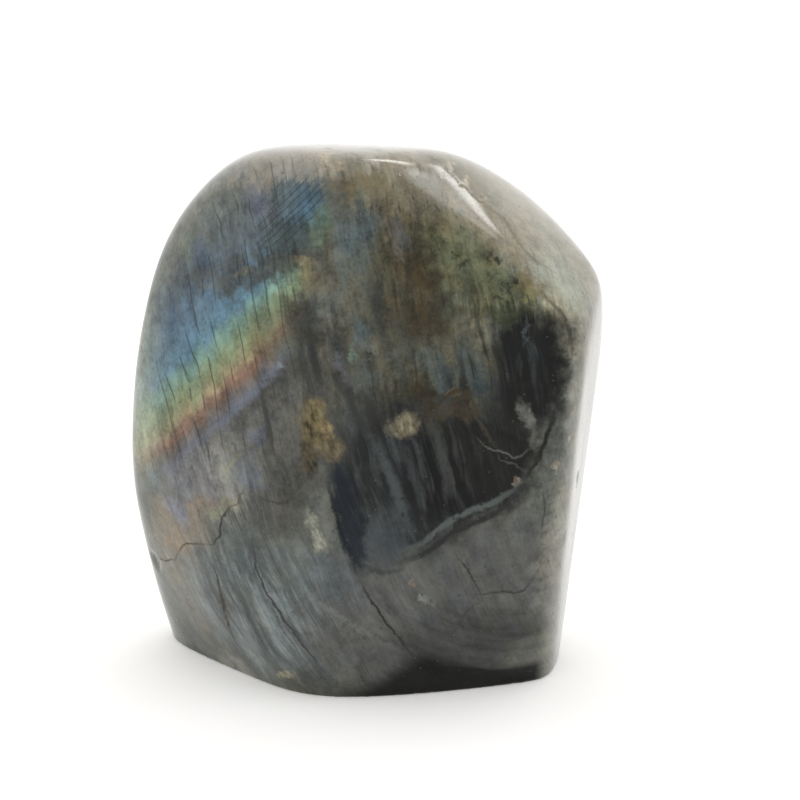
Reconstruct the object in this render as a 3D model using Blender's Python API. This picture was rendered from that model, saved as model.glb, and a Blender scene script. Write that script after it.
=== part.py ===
"""Polished labradorite free-form: one stone, ground round by hand and sawn flat underneath to stand on.

The body is star-shaped about its heart. Ground faces are planes at a stated distance from the heart. The rough
block blends its faces softly, and each later facet is ground onto it with an edge of its own sharpness.
Metres, +Z up, front towards -Y, origin at the middle of the box on the resting plane.
"""

from math import cos, radians, sin

import bmesh
import bpy
from mathutils import Vector, noise

# Driving dimensions
HEART_HEIGHT = 0.055  # from the resting plane to the point that the faces are measured from
HALF_WIDTH, HALF_DEPTH, HALF_HEIGHT = 0.046, 0.028, 0.057  # the block that the stone came out of
CELLS_WIDE, CELLS_DEEP, CELLS_HIGH = 28, 17, 34  # quads along each side of that block

# Faces of the rough block: heading from the front towards +X and rise, in degrees, then distance from the heart
ROUGH_FACES = {
    "front": (3, 2, 0.0290),
    "front_top": (20, 37, 0.0435),
    "front_right": (19, -15, 0.0375),
    "front_left": (-37, 9, 0.0355),
    "left": (-81, 8, 0.0565),
    "lower_left": (-56, -20, 0.0475),
    "foot_left": (-40, -35, 0.0560),
    "crown_left": (-56, 55, 0.0600),
    "back": (176, 2, 0.0265),
    "back_left": (-135, 8, 0.0370),
    "back_right": (129, -9, 0.0430),
    "back_top": (177, 58, 0.0485),
    "back_slope": (98, 39, 0.0535),
}
ROUGH_SHARPNESS = 7

# Facets ground on afterwards: heading, rise, distance, and the sharpness of the edge that each leaves
GROUND_FACETS = {
    "right_side": (79, -6, 0.0440, 22),
    "upper_left": (-83, 46, 0.0550, 18),
    "top": (171, 87, 0.0515, 30),
    "right_slope": (79, 53, 0.0505, 40),
    "shoulder_outer": (61, 46, 0.0480, 50),
    "shoulder": (41, 51, 0.0475, 60),
}

RIPPLE_LENGTH, RIPPLE_DEPTH = 0.024, 0.00035  # the slow hollows and swells that a hand-held wheel leaves
RIM_ROUNDING = 0.0009  # height and reach of the rounding where the saw cut meets the sides


def facing(heading, rise):
    """Unit vector at a heading from the front towards +X and a rise above the horizontal, in degrees."""
    turn, lift = radians(heading), radians(rise)
    return Vector((sin(turn) * cos(lift), -cos(turn) * cos(lift), sin(lift)))


def blended(values, sharpness):
    """Largest of the values, rounded off where two of them are nearly equal."""
    return sum(value**sharpness for value in values) ** (1 / sharpness)


ROUGH = [(facing(heading, rise), distance) for heading, rise, distance in ROUGH_FACES.values()]
GROUND = [
    (facing(heading, rise), distance, sharpness)
    for heading, rise, distance, sharpness in GROUND_FACETS.values()
]


def on_surface(spoke):
    """Point where a spoke from the heart leaves the stone."""
    reach = blended([max(spoke.dot(normal) / away, 0) for normal, away in ROUGH], ROUGH_SHARPNESS)
    for normal, away, sharpness in GROUND:
        reach = blended([reach, max(spoke.dot(normal) / away, 0)], sharpness)
    point = spoke / reach
    swell = 1 + RIPPLE_DEPTH * noise.noise(point / RIPPLE_LENGTH) / point.length
    return point * swell + Vector((0, 0, HEART_HEIGHT))


def block():
    """The block as an evenly divided box round the heart."""
    mesh = bmesh.new()
    bmesh.ops.create_cube(mesh, size=2)
    for axis, cells in enumerate((CELLS_WIDE, CELLS_DEEP, CELLS_HIGH)):
        along = [e for e in mesh.edges if abs((e.verts[0].co - e.verts[1].co)[axis]) > 1]
        bmesh.ops.subdivide_edges(mesh, edges=along, cuts=cells - 1, use_grid_fill=True)
    bmesh.ops.scale(mesh, vec=(HALF_WIDTH, HALF_DEPTH, HALF_HEIGHT), verts=mesh.verts)
    return mesh


def saw_base(mesh):
    """Cuts the stone flat just above its resting plane, and rounds the rim down to the plane."""
    cut = bmesh.ops.bisect_plane(
        mesh,
        geom=mesh.verts[:] + mesh.edges[:] + mesh.faces[:],
        dist=0.0004,
        plane_co=(0, 0, RIM_ROUNDING),
        plane_no=(0, 0, -1),
        clear_outer=True,
    )
    rim = [item for item in cut["geom_cut"] if isinstance(item, bmesh.types.BMEdge)]
    base = bmesh.ops.contextual_create(mesh, geom=rim)["faces"]
    for inward, down in ((0.25, 0.6), (0.75, 0.4)):
        bmesh.ops.inset_region(
            mesh, faces=base, thickness=inward * RIM_ROUNDING, depth=down * RIM_ROUNDING
        )
    for vert in base[0].verts:
        vert.co.z = 0
    bmesh.ops.poke(mesh, faces=base)


def centre(mesh):
    """Moves the stone so that the middle of its box stands over the origin."""
    for axis in (0, 1):
        places = [vert.co[axis] for vert in mesh.verts]
        middle = (min(places) + max(places)) / 2
        for vert in mesh.verts:
            vert.co[axis] -= middle


def stone_material():
    material = bpy.data.materials.new("labradorite")
    material.use_nodes = True
    shader = material.node_tree.nodes["Principled BSDF"]
    shader.inputs["Base Color"].default_value = (0.085, 0.095, 0.090, 1)
    shader.inputs["Roughness"].default_value = 0.15
    shader.inputs["Metallic"].default_value = 0
    return material


def make_stone(collection):
    mesh = block()
    for vert in mesh.verts:
        vert.co = on_surface(vert.co)
    saw_base(mesh)
    centre(mesh)
    bmesh.ops.recalc_face_normals(mesh, faces=mesh.faces)
    data = bpy.data.meshes.new("labradorite_stone")
    mesh.to_mesh(data)
    mesh.free()
    data.shade_smooth()
    data.materials.append(stone_material())
    stone = bpy.data.objects.new("labradorite_stone", data)
    collection.objects.link(stone)


def main():
    for old in list(bpy.data.objects):
        bpy.data.objects.remove(old)
    collection = bpy.data.collections.new("labradorite_freeform")
    bpy.context.scene.collection.children.link(collection)
    make_stone(collection)


main()
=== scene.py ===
"""Polished labradorite free-form: its ground and polished surface, its markings, and its light.

The stone is modelled again from the faces it was ground to, finely enough for crisp edges and small chips,
and stands for the CAD stone of the same size. All its markings are laid through the solid in millimetres.
"""

from math import atan2, cos, radians, sin

import bmesh
import bpy
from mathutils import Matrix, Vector, noise


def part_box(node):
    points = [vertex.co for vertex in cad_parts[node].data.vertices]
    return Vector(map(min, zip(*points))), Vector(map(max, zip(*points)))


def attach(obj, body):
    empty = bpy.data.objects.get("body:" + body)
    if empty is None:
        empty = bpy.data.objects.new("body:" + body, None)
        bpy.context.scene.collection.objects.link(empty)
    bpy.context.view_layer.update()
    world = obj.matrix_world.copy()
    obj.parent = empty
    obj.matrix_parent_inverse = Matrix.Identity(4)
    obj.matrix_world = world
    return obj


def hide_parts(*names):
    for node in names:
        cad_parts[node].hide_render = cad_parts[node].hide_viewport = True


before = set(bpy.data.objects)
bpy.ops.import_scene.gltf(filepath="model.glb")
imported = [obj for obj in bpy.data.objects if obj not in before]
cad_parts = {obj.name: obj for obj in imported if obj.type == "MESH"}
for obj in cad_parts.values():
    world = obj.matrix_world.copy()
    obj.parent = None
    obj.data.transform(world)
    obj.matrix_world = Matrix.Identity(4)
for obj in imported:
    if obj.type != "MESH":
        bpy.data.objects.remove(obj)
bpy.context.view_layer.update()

MILLIMETRE = 0.001

# ---------------------------------------------------------------------------------------- the stone

HEART_HEIGHT = 0.055  # from the resting plane to the point that the faces are measured from
HALF_WIDTH, HALF_DEPTH, HALF_HEIGHT = 0.046, 0.028, 0.057
CELLS_WIDE, CELLS_DEEP, CELLS_HIGH = 116, 72, 142  # quads along each side of the block

# Faces of the rough block: heading from the front towards +X, rise, and distance from the heart
ROUGH_FACES = {
    "front": (3, 2, 0.0290),
    "front_top": (20, 37, 0.0435),
    "front_right": (19, -15, 0.0375),
    "front_left": (-37, 9, 0.0355),
    "left": (-81, 8, 0.0565),
    "lower_left": (-56, -20, 0.0475),
    "foot_left": (-40, -35, 0.0560),
    "crown_left": (-56, 55, 0.0600),
    "back": (176, 2, 0.0265),
    "back_left": (-135, 8, 0.0370),
    "back_right": (129, -9, 0.0430),
    "back_top": (177, 58, 0.0485),
    "back_slope": (98, 39, 0.0535),
}
ROUGH_SHARPNESS = 7

# Facets ground on afterwards: heading, rise, distance, and the sharpness of the edge that each leaves
GROUND_FACETS = {
    "right_side": (79, -6, 0.0440, 22),
    "upper_left": (-83, 46, 0.0550, 18),
    "top": (171, 87, 0.0515, 30),
    "right_slope": (79, 53, 0.0505, 40),
    "shoulder_outer": (61, 46, 0.0480, 50),
    "shoulder": (41, 51, 0.0475, 60),
}

# Small chips and dents in the polish: middle, reach and depth, in millimetres
CHIPS = {
    "chip at the long crack": ((-42.9, 0, 20.9), 2.2, 0.55),
    "chip of the sawn edge": ((38.3, -19.0, 31.2), 2.0, 0.45),
    "low chip of the sawn edge": ((37.6, -18.3, 14.0), 1.7, 0.35),
    "dent of the sawn side": ((40.6, -10.5, 41.5), 1.9, 0.35),
    "chip of the left base edge": ((-15.8, -20.8, 3.4), 2.0, 0.4),
    "chip of the back base edge": ((12.0, 21.5, 1.5), 2.4, 0.5),
    "dent of the back": ((-14.0, 24.0, 62.0), 2.2, 0.3),
}

CHIP_EDGE, CHIP_CLEAR = 1.2, 1.5  # where a chip ends, and where nothing is left of it, in reaches
CHIP_STEEPNESS = 1.4  # how fast it falls to its full depth inwards from there
CHIP_RAGGEDNESS, CHIP_NOTCH = 0.3, 1.6  # how uneven its border is, and how long its notches are

RIPPLE_LENGTH, RIPPLE_DEPTH = 0.024, 0.00035  # low waves that grinding by hand leaves
RIM_ROUNDING = 0.0009  # radius of the rounded rim round the sawn base
RIM_STEPS = 4
SAME_PLACE = 0.0001  # points nearer than this to the saw cut lie in it


def facing(heading, rise):
    """Unit vector at a heading from the front towards +X and a rise above the horizontal, in degrees."""
    turn, lift = radians(heading), radians(rise)
    return Vector((sin(turn) * cos(lift), -cos(turn) * cos(lift), sin(lift)))


def blended(values, sharpness):
    """Largest of the values, rounded off where two of them are nearly equal."""
    return sum(value**sharpness for value in values) ** (1 / sharpness)


ROUGH = [(facing(heading, rise), distance) for heading, rise, distance in ROUGH_FACES.values()]
GROUND = [
    (facing(heading, rise), distance, sharpness)
    for heading, rise, distance, sharpness in GROUND_FACETS.values()
]


def on_surface(spoke):
    """Point where a spoke from the heart leaves the stone."""
    reach = blended([max(spoke.dot(normal) / away, 0) for normal, away in ROUGH], ROUGH_SHARPNESS)
    for normal, away, sharpness in GROUND:
        reach = blended([reach, max(spoke.dot(normal) / away, 0)], sharpness)
    point = spoke / reach
    swell = 1 + RIPPLE_DEPTH * noise.noise(point / RIPPLE_LENGTH) / point.length
    return point * swell + Vector((0, 0, HEART_HEIGHT))


def block():
    """The block as an evenly divided box round the heart."""
    mesh = bmesh.new()
    bmesh.ops.create_cube(mesh, size=2)
    for axis, cells in enumerate((CELLS_WIDE, CELLS_DEEP, CELLS_HIGH)):
        along = [e for e in mesh.edges if abs((e.verts[0].co - e.verts[1].co)[axis]) > 1]
        bmesh.ops.subdivide_edges(mesh, edges=along, cuts=cells - 1, use_grid_fill=True)
    bmesh.ops.scale(mesh, vec=(HALF_WIDTH, HALF_DEPTH, HALF_HEIGHT), verts=mesh.verts)
    return mesh


def saw_base(mesh):
    """Cuts the stone flat just above its resting plane, and rounds the rim down to it in even steps."""
    cut = bmesh.ops.bisect_plane(
        mesh,
        geom=mesh.verts[:] + mesh.edges[:] + mesh.faces[:],
        dist=SAME_PLACE,
        plane_co=(0, 0, RIM_ROUNDING),
        plane_no=(0, 0, -1),
        clear_outer=True,
    )
    rim = [item for item in cut["geom_cut"] if isinstance(item, bmesh.types.BMEdge)]
    base = bmesh.ops.contextual_create(mesh, geom=rim)["faces"]
    turned = [radians(90 * step / RIM_STEPS) for step in range(RIM_STEPS + 1)]
    for before, after in zip(turned, turned[1:]):
        inward = cos(before) - cos(after)
        down = sin(after) - sin(before)
        bmesh.ops.inset_region(mesh, faces=base, thickness=inward * RIM_ROUNDING, depth=down * RIM_ROUNDING)
    for vert in base[0].verts:
        vert.co.z = 0
    bmesh.ops.poke(mesh, faces=base)


def centre(mesh, box):
    """Moves the stone sideways so that its middle stands over the middle of the box."""
    for axis in (0, 1):
        places = [vert.co[axis] for vert in mesh.verts]
        shift = (box[0][axis] + box[1][axis]) / 2 - (min(places) + max(places)) / 2
        for vert in mesh.verts:
            vert.co[axis] += shift


def knock_chips(mesh):
    """Presses each chip towards the heart of the stone, with an uneven border."""
    heart = Vector((0, 0, HEART_HEIGHT))
    for middle, reach, depth in CHIPS.values():
        middle = Vector(middle) * MILLIMETRE
        for vert in mesh.verts:
            away = (vert.co - middle).length / (reach * MILLIMETRE)
            if away < CHIP_CLEAR:
                unevenness = noise.noise(vert.co / (CHIP_NOTCH * MILLIMETRE))
                ragged = away * (1 + CHIP_RAGGEDNESS * unevenness)
                share = min(max(CHIP_EDGE - ragged, 0) * CHIP_STEEPNESS, 1)
                vert.co += (heart - vert.co).normalized() * depth * MILLIMETRE * share


def make_stone():
    """The stone itself: a block drawn in to its ground faces, sawn flat below, and chipped."""
    mesh = block()
    for vert in mesh.verts:
        vert.co = on_surface(vert.co)
    saw_base(mesh)
    centre(mesh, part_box("labradorite_stone"))
    knock_chips(mesh)
    bmesh.ops.recalc_face_normals(mesh, faces=mesh.faces)
    data = bpy.data.meshes.new("polished_stone")
    mesh.to_mesh(data)
    mesh.free()
    data.shade_smooth()
    stone = bpy.data.objects.new("polished_stone", data)
    bpy.context.scene.collection.objects.link(stone)
    return stone


# --------------------------------------------------------------------------------- writing a shader

BLACK = (0, 0, 0, 1)
SCREEN_GAMMA = 2.2


class Wire:
    """An output of a shader node that sums can be written with."""

    def __init__(self, graph, socket):
        self.graph, self.socket = graph, socket

    def __add__(self, other):
        return self.graph.sum("ADD", self, other)

    def __radd__(self, other):
        return self.graph.sum("ADD", other, self)

    def __sub__(self, other):
        return self.graph.sum("SUBTRACT", self, other)

    def __rsub__(self, other):
        return self.graph.sum("SUBTRACT", other, self)

    def __mul__(self, other):
        return self.graph.sum("MULTIPLY", self, other)

    def __rmul__(self, other):
        return self.graph.sum("MULTIPLY", other, self)

    def __truediv__(self, other):
        return self.graph.sum("DIVIDE", self, other)

    def __abs__(self):
        return self.graph.sum("ABSOLUTE", self)


class Graph:
    """The nodes of one material or world, written as expressions."""

    def __init__(self, tree):
        self.tree = tree

    def node(self, kind, settings=None, inputs=None, output=0):
        """A node of a kind, with its settings made first, then its sockets filled or linked."""
        made = self.tree.nodes.new(kind)
        for name, value in (settings or {}).items():
            if name == "stops":
                self.set_stops(made.color_ramp, value)
            elif name == "curve":
                self.set_curve(made.mapping, value)
            else:
                setattr(made, name, value)
        for name, value in (inputs or {}).items():
            self.feed(made.inputs[name], value)
        return Wire(self, made.outputs[output])

    def feed(self, socket, value):
        """Links a wire to a socket, or sets the socket to a plain value."""
        if isinstance(value, Wire):
            self.tree.links.new(value.socket, socket)
        else:
            socket.default_value = value

    @staticmethod
    def set_stops(ramp, stops):
        """Gives a colour ramp its places and colours."""
        ramp.interpolation = "EASE"
        while len(ramp.elements) > 1:
            ramp.elements.remove(ramp.elements[-1])
        first, *others = stops
        ramp.elements[0].position, ramp.elements[0].color = first
        for place, colour in others:
            ramp.elements.new(place).color = colour

    @staticmethod
    def set_curve(mapping, points):
        """Draws a curve through points, with nothing cut off outside 0 to 1."""
        mapping.use_clip = False
        curve = mapping.curves[0]
        curve.points[0].location, curve.points[1].location = points[0], points[-1]
        for point in points[1:-1]:
            curve.points.new(*point)
        mapping.update()

    def sum(self, operation, *values):
        """A Math node."""
        return self.node("ShaderNodeMath", {"operation": operation}, dict(enumerate(values)))

    def vector(self, operation, *values, output=0):
        """A Vector Math node. Its output 1 is a number, such as a length."""
        return self.node("ShaderNodeVectorMath", {"operation": operation}, dict(enumerate(values)), output)

    def fade(self, value, low, high, most=1.0):
        """0 at low and the most at high, eased between them. High may lie below low."""
        return self.node(
            "ShaderNodeMapRange",
            {"interpolation_type": "SMOOTHSTEP"},
            {"Value": value, "From Min": low, "From Max": high, "To Max": most},
        )

    def mix(self, share, first, second, blend="MIX"):
        """Second over first by a share from 0 to 1, for colours."""
        return self.node(
            "ShaderNodeMix", {"data_type": "RGBA", "blend_type": blend}, {0: share, 6: first, 7: second}, 2
        )

    def toned(self, colour, tone):
        """A colour darkened by a tone under 1, or lightened by one over 1."""
        return self.node(
            "ShaderNodeMix", {"data_type": "RGBA", "clamp_factor": False}, {0: tone, 6: BLACK, 7: colour}, 2
        )

    def lot(self, colour):
        """A number from 0 to 1 drawn from a cell's random colour."""
        return self.node("ShaderNodeSeparateColor", {}, {0: colour}, "Red")

    def grain(self, place, size, detail=2.0, roughness=0.5, output=0):
        """Cloudy noise from 0 to 1 whose lumps are about a size across."""
        return self.node(
            "ShaderNodeTexNoise",
            {},
            {"Vector": place, "Scale": 1 / size, "Detail": detail, "Roughness": roughness},
            output,
        )

    def stripes(self, along, feature, output):
        """Bands of uneven width, about 1 wide: their random colour, or the distance to the next border."""
        return self.node(
            "ShaderNodeTexVoronoi",
            {"voronoi_dimensions": "1D", "feature": feature},
            {"W": along, "Scale": 1},
            output,
        )

    def scale(self, vector, by):
        return self.node("ShaderNodeVectorMath", {"operation": "SCALE"}, {0: vector, "Scale": by})

    def split(self, place):
        """The three parts of a place."""
        made = self.node("ShaderNodeSeparateXYZ", {}, {0: place})
        return [Wire(self, socket) for socket in made.socket.node.outputs]

    def join(self, x, y, z):
        return self.node("ShaderNodeCombineXYZ", {}, {0: x, 1: y, 2: z})


def paint(red, green, blue, strength=0.86):
    """A linear colour from one as it looks on a screen, 0 to 255 a channel."""
    return tuple(strength * (channel / 255) ** SCREEN_GAMMA for channel in (red, green, blue)) + (1.0,)


# ------------------------------------------------------------------------------------- the markings
# Places are in millimetres: across, then up, as the front face is seen. Turns are in degrees, anticlockwise.

MARKS_ZERO = Vector((-0.3, 0, 0.5))  # where across and up are counted from, off the middle of the base
# Marked faces: how far forward or back they lie, and how far their patches reach from there
FRONT, CROWN, CREST, BACK = (-26, 19), (-8, 19), (-10, 8), (26, 19)

# Lamellae: sheets that run down the stone, near upright at the top and leaning more towards the foot
LAMELLA_SPACING = 2.3
LEAN_BACK = 0.15  # how far they move across for each millimetre to the back
LEAN_TOP, LEAN_FALL = 90, 75  # height where they are most upright, and the fall over which the lean grows
LEAN_STEADY, LEAN_GROWING = 10.5, 9.0  # how far they move across over that fall, evenly and ever faster

# Broad zones of body colour on the front, and zones of painted sheen where its rims, crown and slope catch
# the light: middle, half sizes, turn, softness, colour, strength
ZONES = [
    ("upper left slate", (-24, 93), (17, 11), 40, 0.7, (92, 98, 98), 0.9),
    ("high slate", (-18, 101.5), (9, 3), 20, 0.8, (112, 116, 112), 0.7),
    ("teal under the hatch", (-13, 96), (8, 9), 0, 0.7, (88, 101, 103), 0.6),
    # Painted sheen of the crown, which is seen at a grazing angle
    ("painted sheen of the left crown", (-33, 101), (7, 14), -40, 0.9, (142, 140, 127), 0.85),
    ("painted sheen of the crown", (-8, 108), (22, 5), 0, 0.9, (158, 152, 137), 0.9),
    # Painted sheen of the slope that faces the bright room behind
    ("painted sheen of the slope", (29, 93.5), (8, 9), 40, 0.9, (172, 166, 147), 0.85),
    ("middle grey", (-2, 84), (9, 22), 0, 0.8, (92, 94, 88), 0.9),
    ("slate of the middle", (-1, 93), (5.5, 8.5), 0, 0.9, (80, 89, 90), 0.7),
    ("top brown", (8, 101), (14, 6), -10, 0.8, (120, 113, 92), 0.85),
    ("olive heart", (10, 82), (9, 16), 0, 0.8, (74, 71, 56), 0.9),
    ("brown heart", (11.5, 88), (3.2, 6.5), 10, 0.9, (60, 50, 36), 0.95),
    ("lower brown heart", (10, 76), (5.5, 4), 0, 0.9, (58, 52, 40), 0.9),
    ("olive shoulder", (25, 88), (15, 10), -40, 0.8, (97, 98, 75), 0.95),
    # Painted sheen along the shoulder rim
    ("painted sheen of the shoulder rim", (40, 85), (6, 17), 40, 0.8, (162, 162, 148), 0.9),
    ("dull left heart", (-14, 62), (10, 14), 20, 0.7, (70, 71, 68), 0.9),
    ("centre grey", (2, 68), (8, 12), 10, 0.9, (76, 77, 70), 0.85),
    ("right of centre", (15, 61), (9, 7.5), 10, 0.9, (46, 47, 41), 0.9),
    ("above the heart", (16, 69.5), (8, 5), 0, 0.8, (82, 85, 78), 0.8),
    ("under the flash", (-23, 51), (17, 7), 40, 0.8, (94, 94, 90), 0.9),
    ("pale drift", (-31, 48), (11, 2.6), 40, 0.9, (130, 130, 124), 0.4),
    ("lavender flash foot", (-34, 42), (10, 8), 30, 0.9, (122, 122, 126), 0.7),
    ("grey below flash", (-16, 42.5), (10, 6), 30, 0.9, (72, 72, 69), 0.8),
    ("tan corner", (-39, 31), (8, 9), 20, 0.8, (142, 130, 112), 0.9),
    ("silky foot", (-24, 17), (19, 16), 20, 0.6, (101, 107, 107), 0.95),
    # Painted sheen along the left foot rim
    ("painted sheen of the left foot rim", (-42, 15), (10, 22), 20, 0.9, (160, 154, 141), 0.9),
    ("pale foot edge", (-27, 0.5), (7, 3), -10, 0.9, (156, 154, 146), 0.8),
    ("grey foot", (8, 15), (22, 13), 0, 0.8, (90, 91, 90), 0.9),
    ("right foot grey", (25, 25), (14, 13), 0, 0.8, (86, 87, 86), 0.9),
    ("dim right foot", (22, 11), (17, 7), 0, 0.9, (67, 68, 67), 0.9),
    ("foot shade", (-8, 2), (8, 3.5), 0, 0.9, (76, 77, 73), 0.7),
    ("dark heart", (7, 46), (12, 16), 20, 0.6, (28, 31, 33), 0.96),
    ("lobe", (3.8, 34), (4.4, 7), 10, 0.9, (58, 64, 68), 0.65),
    ("blue black", (-2.9, 38.5), (2.7, 12.5), 10, 0.8, (23, 30, 39), 0.95),
    ("dark right heart", (20.5, 48), (14, 11), 20, 0.6, (9, 10, 10), 0.96),
    ("near black", (31.5, 66.5), (7.8, 12.2), 0, 0.7, (3, 4, 3), 0.97),
    ("teal border", (20.5, 66), (2.2, 8), 10, 0.9, (54, 66, 71), 0.7),
    ("left blue", (15, 64), (1.8, 6), 10, 0.9, (62, 74, 82), 0.5),
    # Painted sheen along the right edge and the left rim, where the surface turns away at a grazing angle
    ("painted sheen of the right edge", (45, 58), (5, 34), 0, 0.9, (140, 139, 132), 0.7),
    ("painted sheen of the low right edge", (40, 31), (5, 15), -10, 0.9, (146, 144, 134), 0.62),
    ("painted sheen of the left rim", (-48, 60), (9, 34), 0, 0.9, (168, 170, 156), 0.8),
]

# Places with lighter streaks along the lamellae, written like the zones
GLEAMS = [
    ("heart gleam", (7, 46), (13, 14), 20, 0.9, (72, 76, 76), 0.5),
    ("right heart gleam", (24, 50), (8, 7), 10, 0.9, (58, 60, 58), 0.2),
    ("near black gleam", (31, 70), (6, 8), 0, 0.9, (66, 70, 70), 0.4),
    ("silk", (-25, 18), (16, 17), 20, 0.9, (128, 138, 140), 0.7),
    ("silk tip", (-8, 27), (7, 9), 20, 0.9, (112, 118, 120), 0.5),
    ("flash foot gleam", (-30, 41), (12, 8), 30, 0.9, (136, 137, 134), 0.4),
    ("upper slate gleam", (-25, 95), (13, 8), 40, 0.9, (112, 118, 112), 0.45),
]

# Places with darker smears between the lamellae
SMEARS = [
    ("near black fringe", (25, 72), (8, 14), 0, 0.9, (30, 33, 31), 0.75),
    ("heart fringe", (12, 60), (17, 8), 10, 0.9, (34, 35, 31), 0.7),
    ("smoke", (-7, 69), (8, 18), 10, 0.9, (54, 56, 54), 0.65),
    ("smoke below the flash", (-17, 60), (8, 8), 30, 0.9, (56, 57, 54), 0.45),
    ("heart smears", (10, 86), (9, 13), 10, 0.9, (48, 44, 32), 0.5),
    ("flash smears", (-29, 70), (13, 13), 40, 0.9, (66, 74, 76), 0.35),
    ("slate smears", (-20, 94), (15, 10), 30, 0.9, (58, 62, 62), 0.4),
    ("silk smears", (-25, 18), (16, 17), 20, 0.9, (64, 70, 70), 0.65),
]

# Smaller stains and painted glints of the flash inside those zones, and a painted sheen on the shoulder
STAINS = [
    ("dark interruption", (-30, 82.5), (10, 2.2), 10, 0.9, (78, 80, 76), 0.8),
    ("dark interruption right", (-17, 87), (9, 2.6), 10, 0.9, (72, 72, 65), 0.85),
    ("blue glint", (-13.5, 93), (3, 4), 10, 0.9, (70, 96, 118), 0.55),
    ("blue glint above", (-10.5, 96.5), (2.8, 4), 10, 0.9, (74, 100, 118), 0.6),
    ("lavender high", (-20, 98), (3, 5), 10, 0.9, (96, 98, 112), 0.5),
    ("deep blue left", (-32.5, 87), (2.4, 4.5), 10, 0.9, (76, 90, 108), 0.6),
    ("green left", (-35, 90), (1.6, 4), 10, 0.9, (118, 132, 112), 0.5),
    ("golden end", (-10.5, 84.5), (2.2, 3.2), 10, 0.9, (110, 100, 74), 0.38),
    ("flash dim end", (-17.5, 75), (5, 6), 40, 0.9, (86, 92, 76), 0.45),
    ("slate dim", (-12.5, 92), (5, 3.6), 10, 0.9, (64, 70, 66), 0.8),
    ("flash shadow", (-12, 77), (3.2, 4.5), 10, 0.9, (66, 65, 58), 0.85),
    ("green glint", (-8, 94), (1.6, 3), 10, 0.9, (92, 110, 92), 0.5),
    ("teal glint", (-0.5, 75.5), (1.6, 2.6), 10, 0.9, (74, 90, 98), 0.45),
    ("cyan glint", (-1.3, 71.2), (0.6, 1.6), 10, 0.9, (104, 128, 120), 0.38),
    ("lavender glint", (-4, 68), (1.6, 3), 10, 0.9, (92, 96, 106), 0.5),
    ("high lavender glint", (6.5, 93), (2, 3.5), 10, 0.9, (96, 98, 104), 0.4),
    ("grey white", (1.5, 71.5), (1.4, 1.8), 0, 0.9, (118, 120, 112), 0.5),
    ("dark upright", (-9, 71), (1.4, 11), 0, 0.9, (50, 51, 50), 0.6),
    ("dark slant", (-1.2, 60), (1.3, 9), 30, 0.9, (52, 53, 51), 0.6),
    ("dark soft", (3.5, 78), (1.1, 5), 10, 0.9, (54, 56, 53), 0.7),
    ("reddish", (3.5, 98), (2.0, 2.6), 0, 0.9, (84, 70, 52), 0.4),
    ("crown brown", (-3, 100.8), (2.6, 1.8), -10, 0.9, (98, 82, 58), 0.5),
    ("dark olive", (9, 63), (4, 3), 0, 0.9, (56, 56, 44), 0.7),
    ("green dark", (26.5, 77), (4, 2.4), -20, 0.9, (60, 64, 46), 0.8),
    ("rusty", (31.5, 82.5), (2.8, 1.7), -30, 0.9, (100, 84, 56), 0.6),
    ("yellow", (32, 80.4), (1.4, 0.9), 0, 0.9, (130, 118, 76), 0.5),
    ("lavender below", (-22, 47), (2.4, 4), 20, 0.9, (108, 116, 130), 0.35),
    ("pale cloud", (-26.4, 45), (3.0, 5.0), 10, 0.9, (140, 143, 136), 0.5),
    ("blue below", (-20, 54), (2, 3), 20, 0.9, (90, 100, 116), 0.45),
    ("light patch", (-28.5, 48.5), (2.0, 2.4), 20, 0.9, (136, 138, 132), 0.5),
    ("orange low", (-32, 38), (3.4, 1.6), 40, 0.9, (144, 128, 106), 0.5),
    ("yellow green low", (-28, 38.5), (4.4, 1.5), 40, 0.9, (138, 136, 108), 0.5),
    ("lavender low", (-37, 36), (2.6, 3.2), 20, 0.9, (124, 132, 150), 0.6),
    ("light blue low", (-42, 40.5), (2.4, 2.6), 20, 0.9, (124, 136, 142), 0.6),
    ("orange brown low", (-39, 26.5), (4.0, 1.6), 30, 0.8, (146, 126, 100), 0.7),
    ("bluish grey", (3.6, 31.5), (4, 4), 20, 0.9, (64, 69, 73), 0.6),
    ("spotted brown", (17, 59.5), (6.5, 2.4), 10, 0.9, (60, 54, 43), 0.75),
    ("brown above the beige", (10.5, 63), (2.2, 2.0), 20, 0.9, (50, 42, 31), 0.7),
    ("foot blue", (-6, 27), (3.5, 6), 30, 0.9, (86, 92, 98), 0.5),
    ("brown band of the foot", (-28.2, 16), (1.0, 6.5), 10, 0.9, (84, 80, 70), 0.6),
    # Painted sheen where the shoulder rounds over to the right side
    ("painted sheen of the green shoulder", (38.5, 83), (4.2, 8), 40, 0.9, (156, 161, 146), 0.6),
]

# The same on the crown, with a painted highlight
CROWN_STAINS = [
    ("crown beige", (-14, 105), (16, 3.2), 10, 0.9, (156, 149, 136), 0.5),
    ("crown green", (1, 103.6), (3.5, 1.8), -10, 0.9, (118, 112, 88), 0.5),
    # Painted highlight along the crown
    ("painted crown highlight", (9.5, 107), (13, 4), -10, 0.9, (190, 185, 173), 0.42),
]

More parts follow.
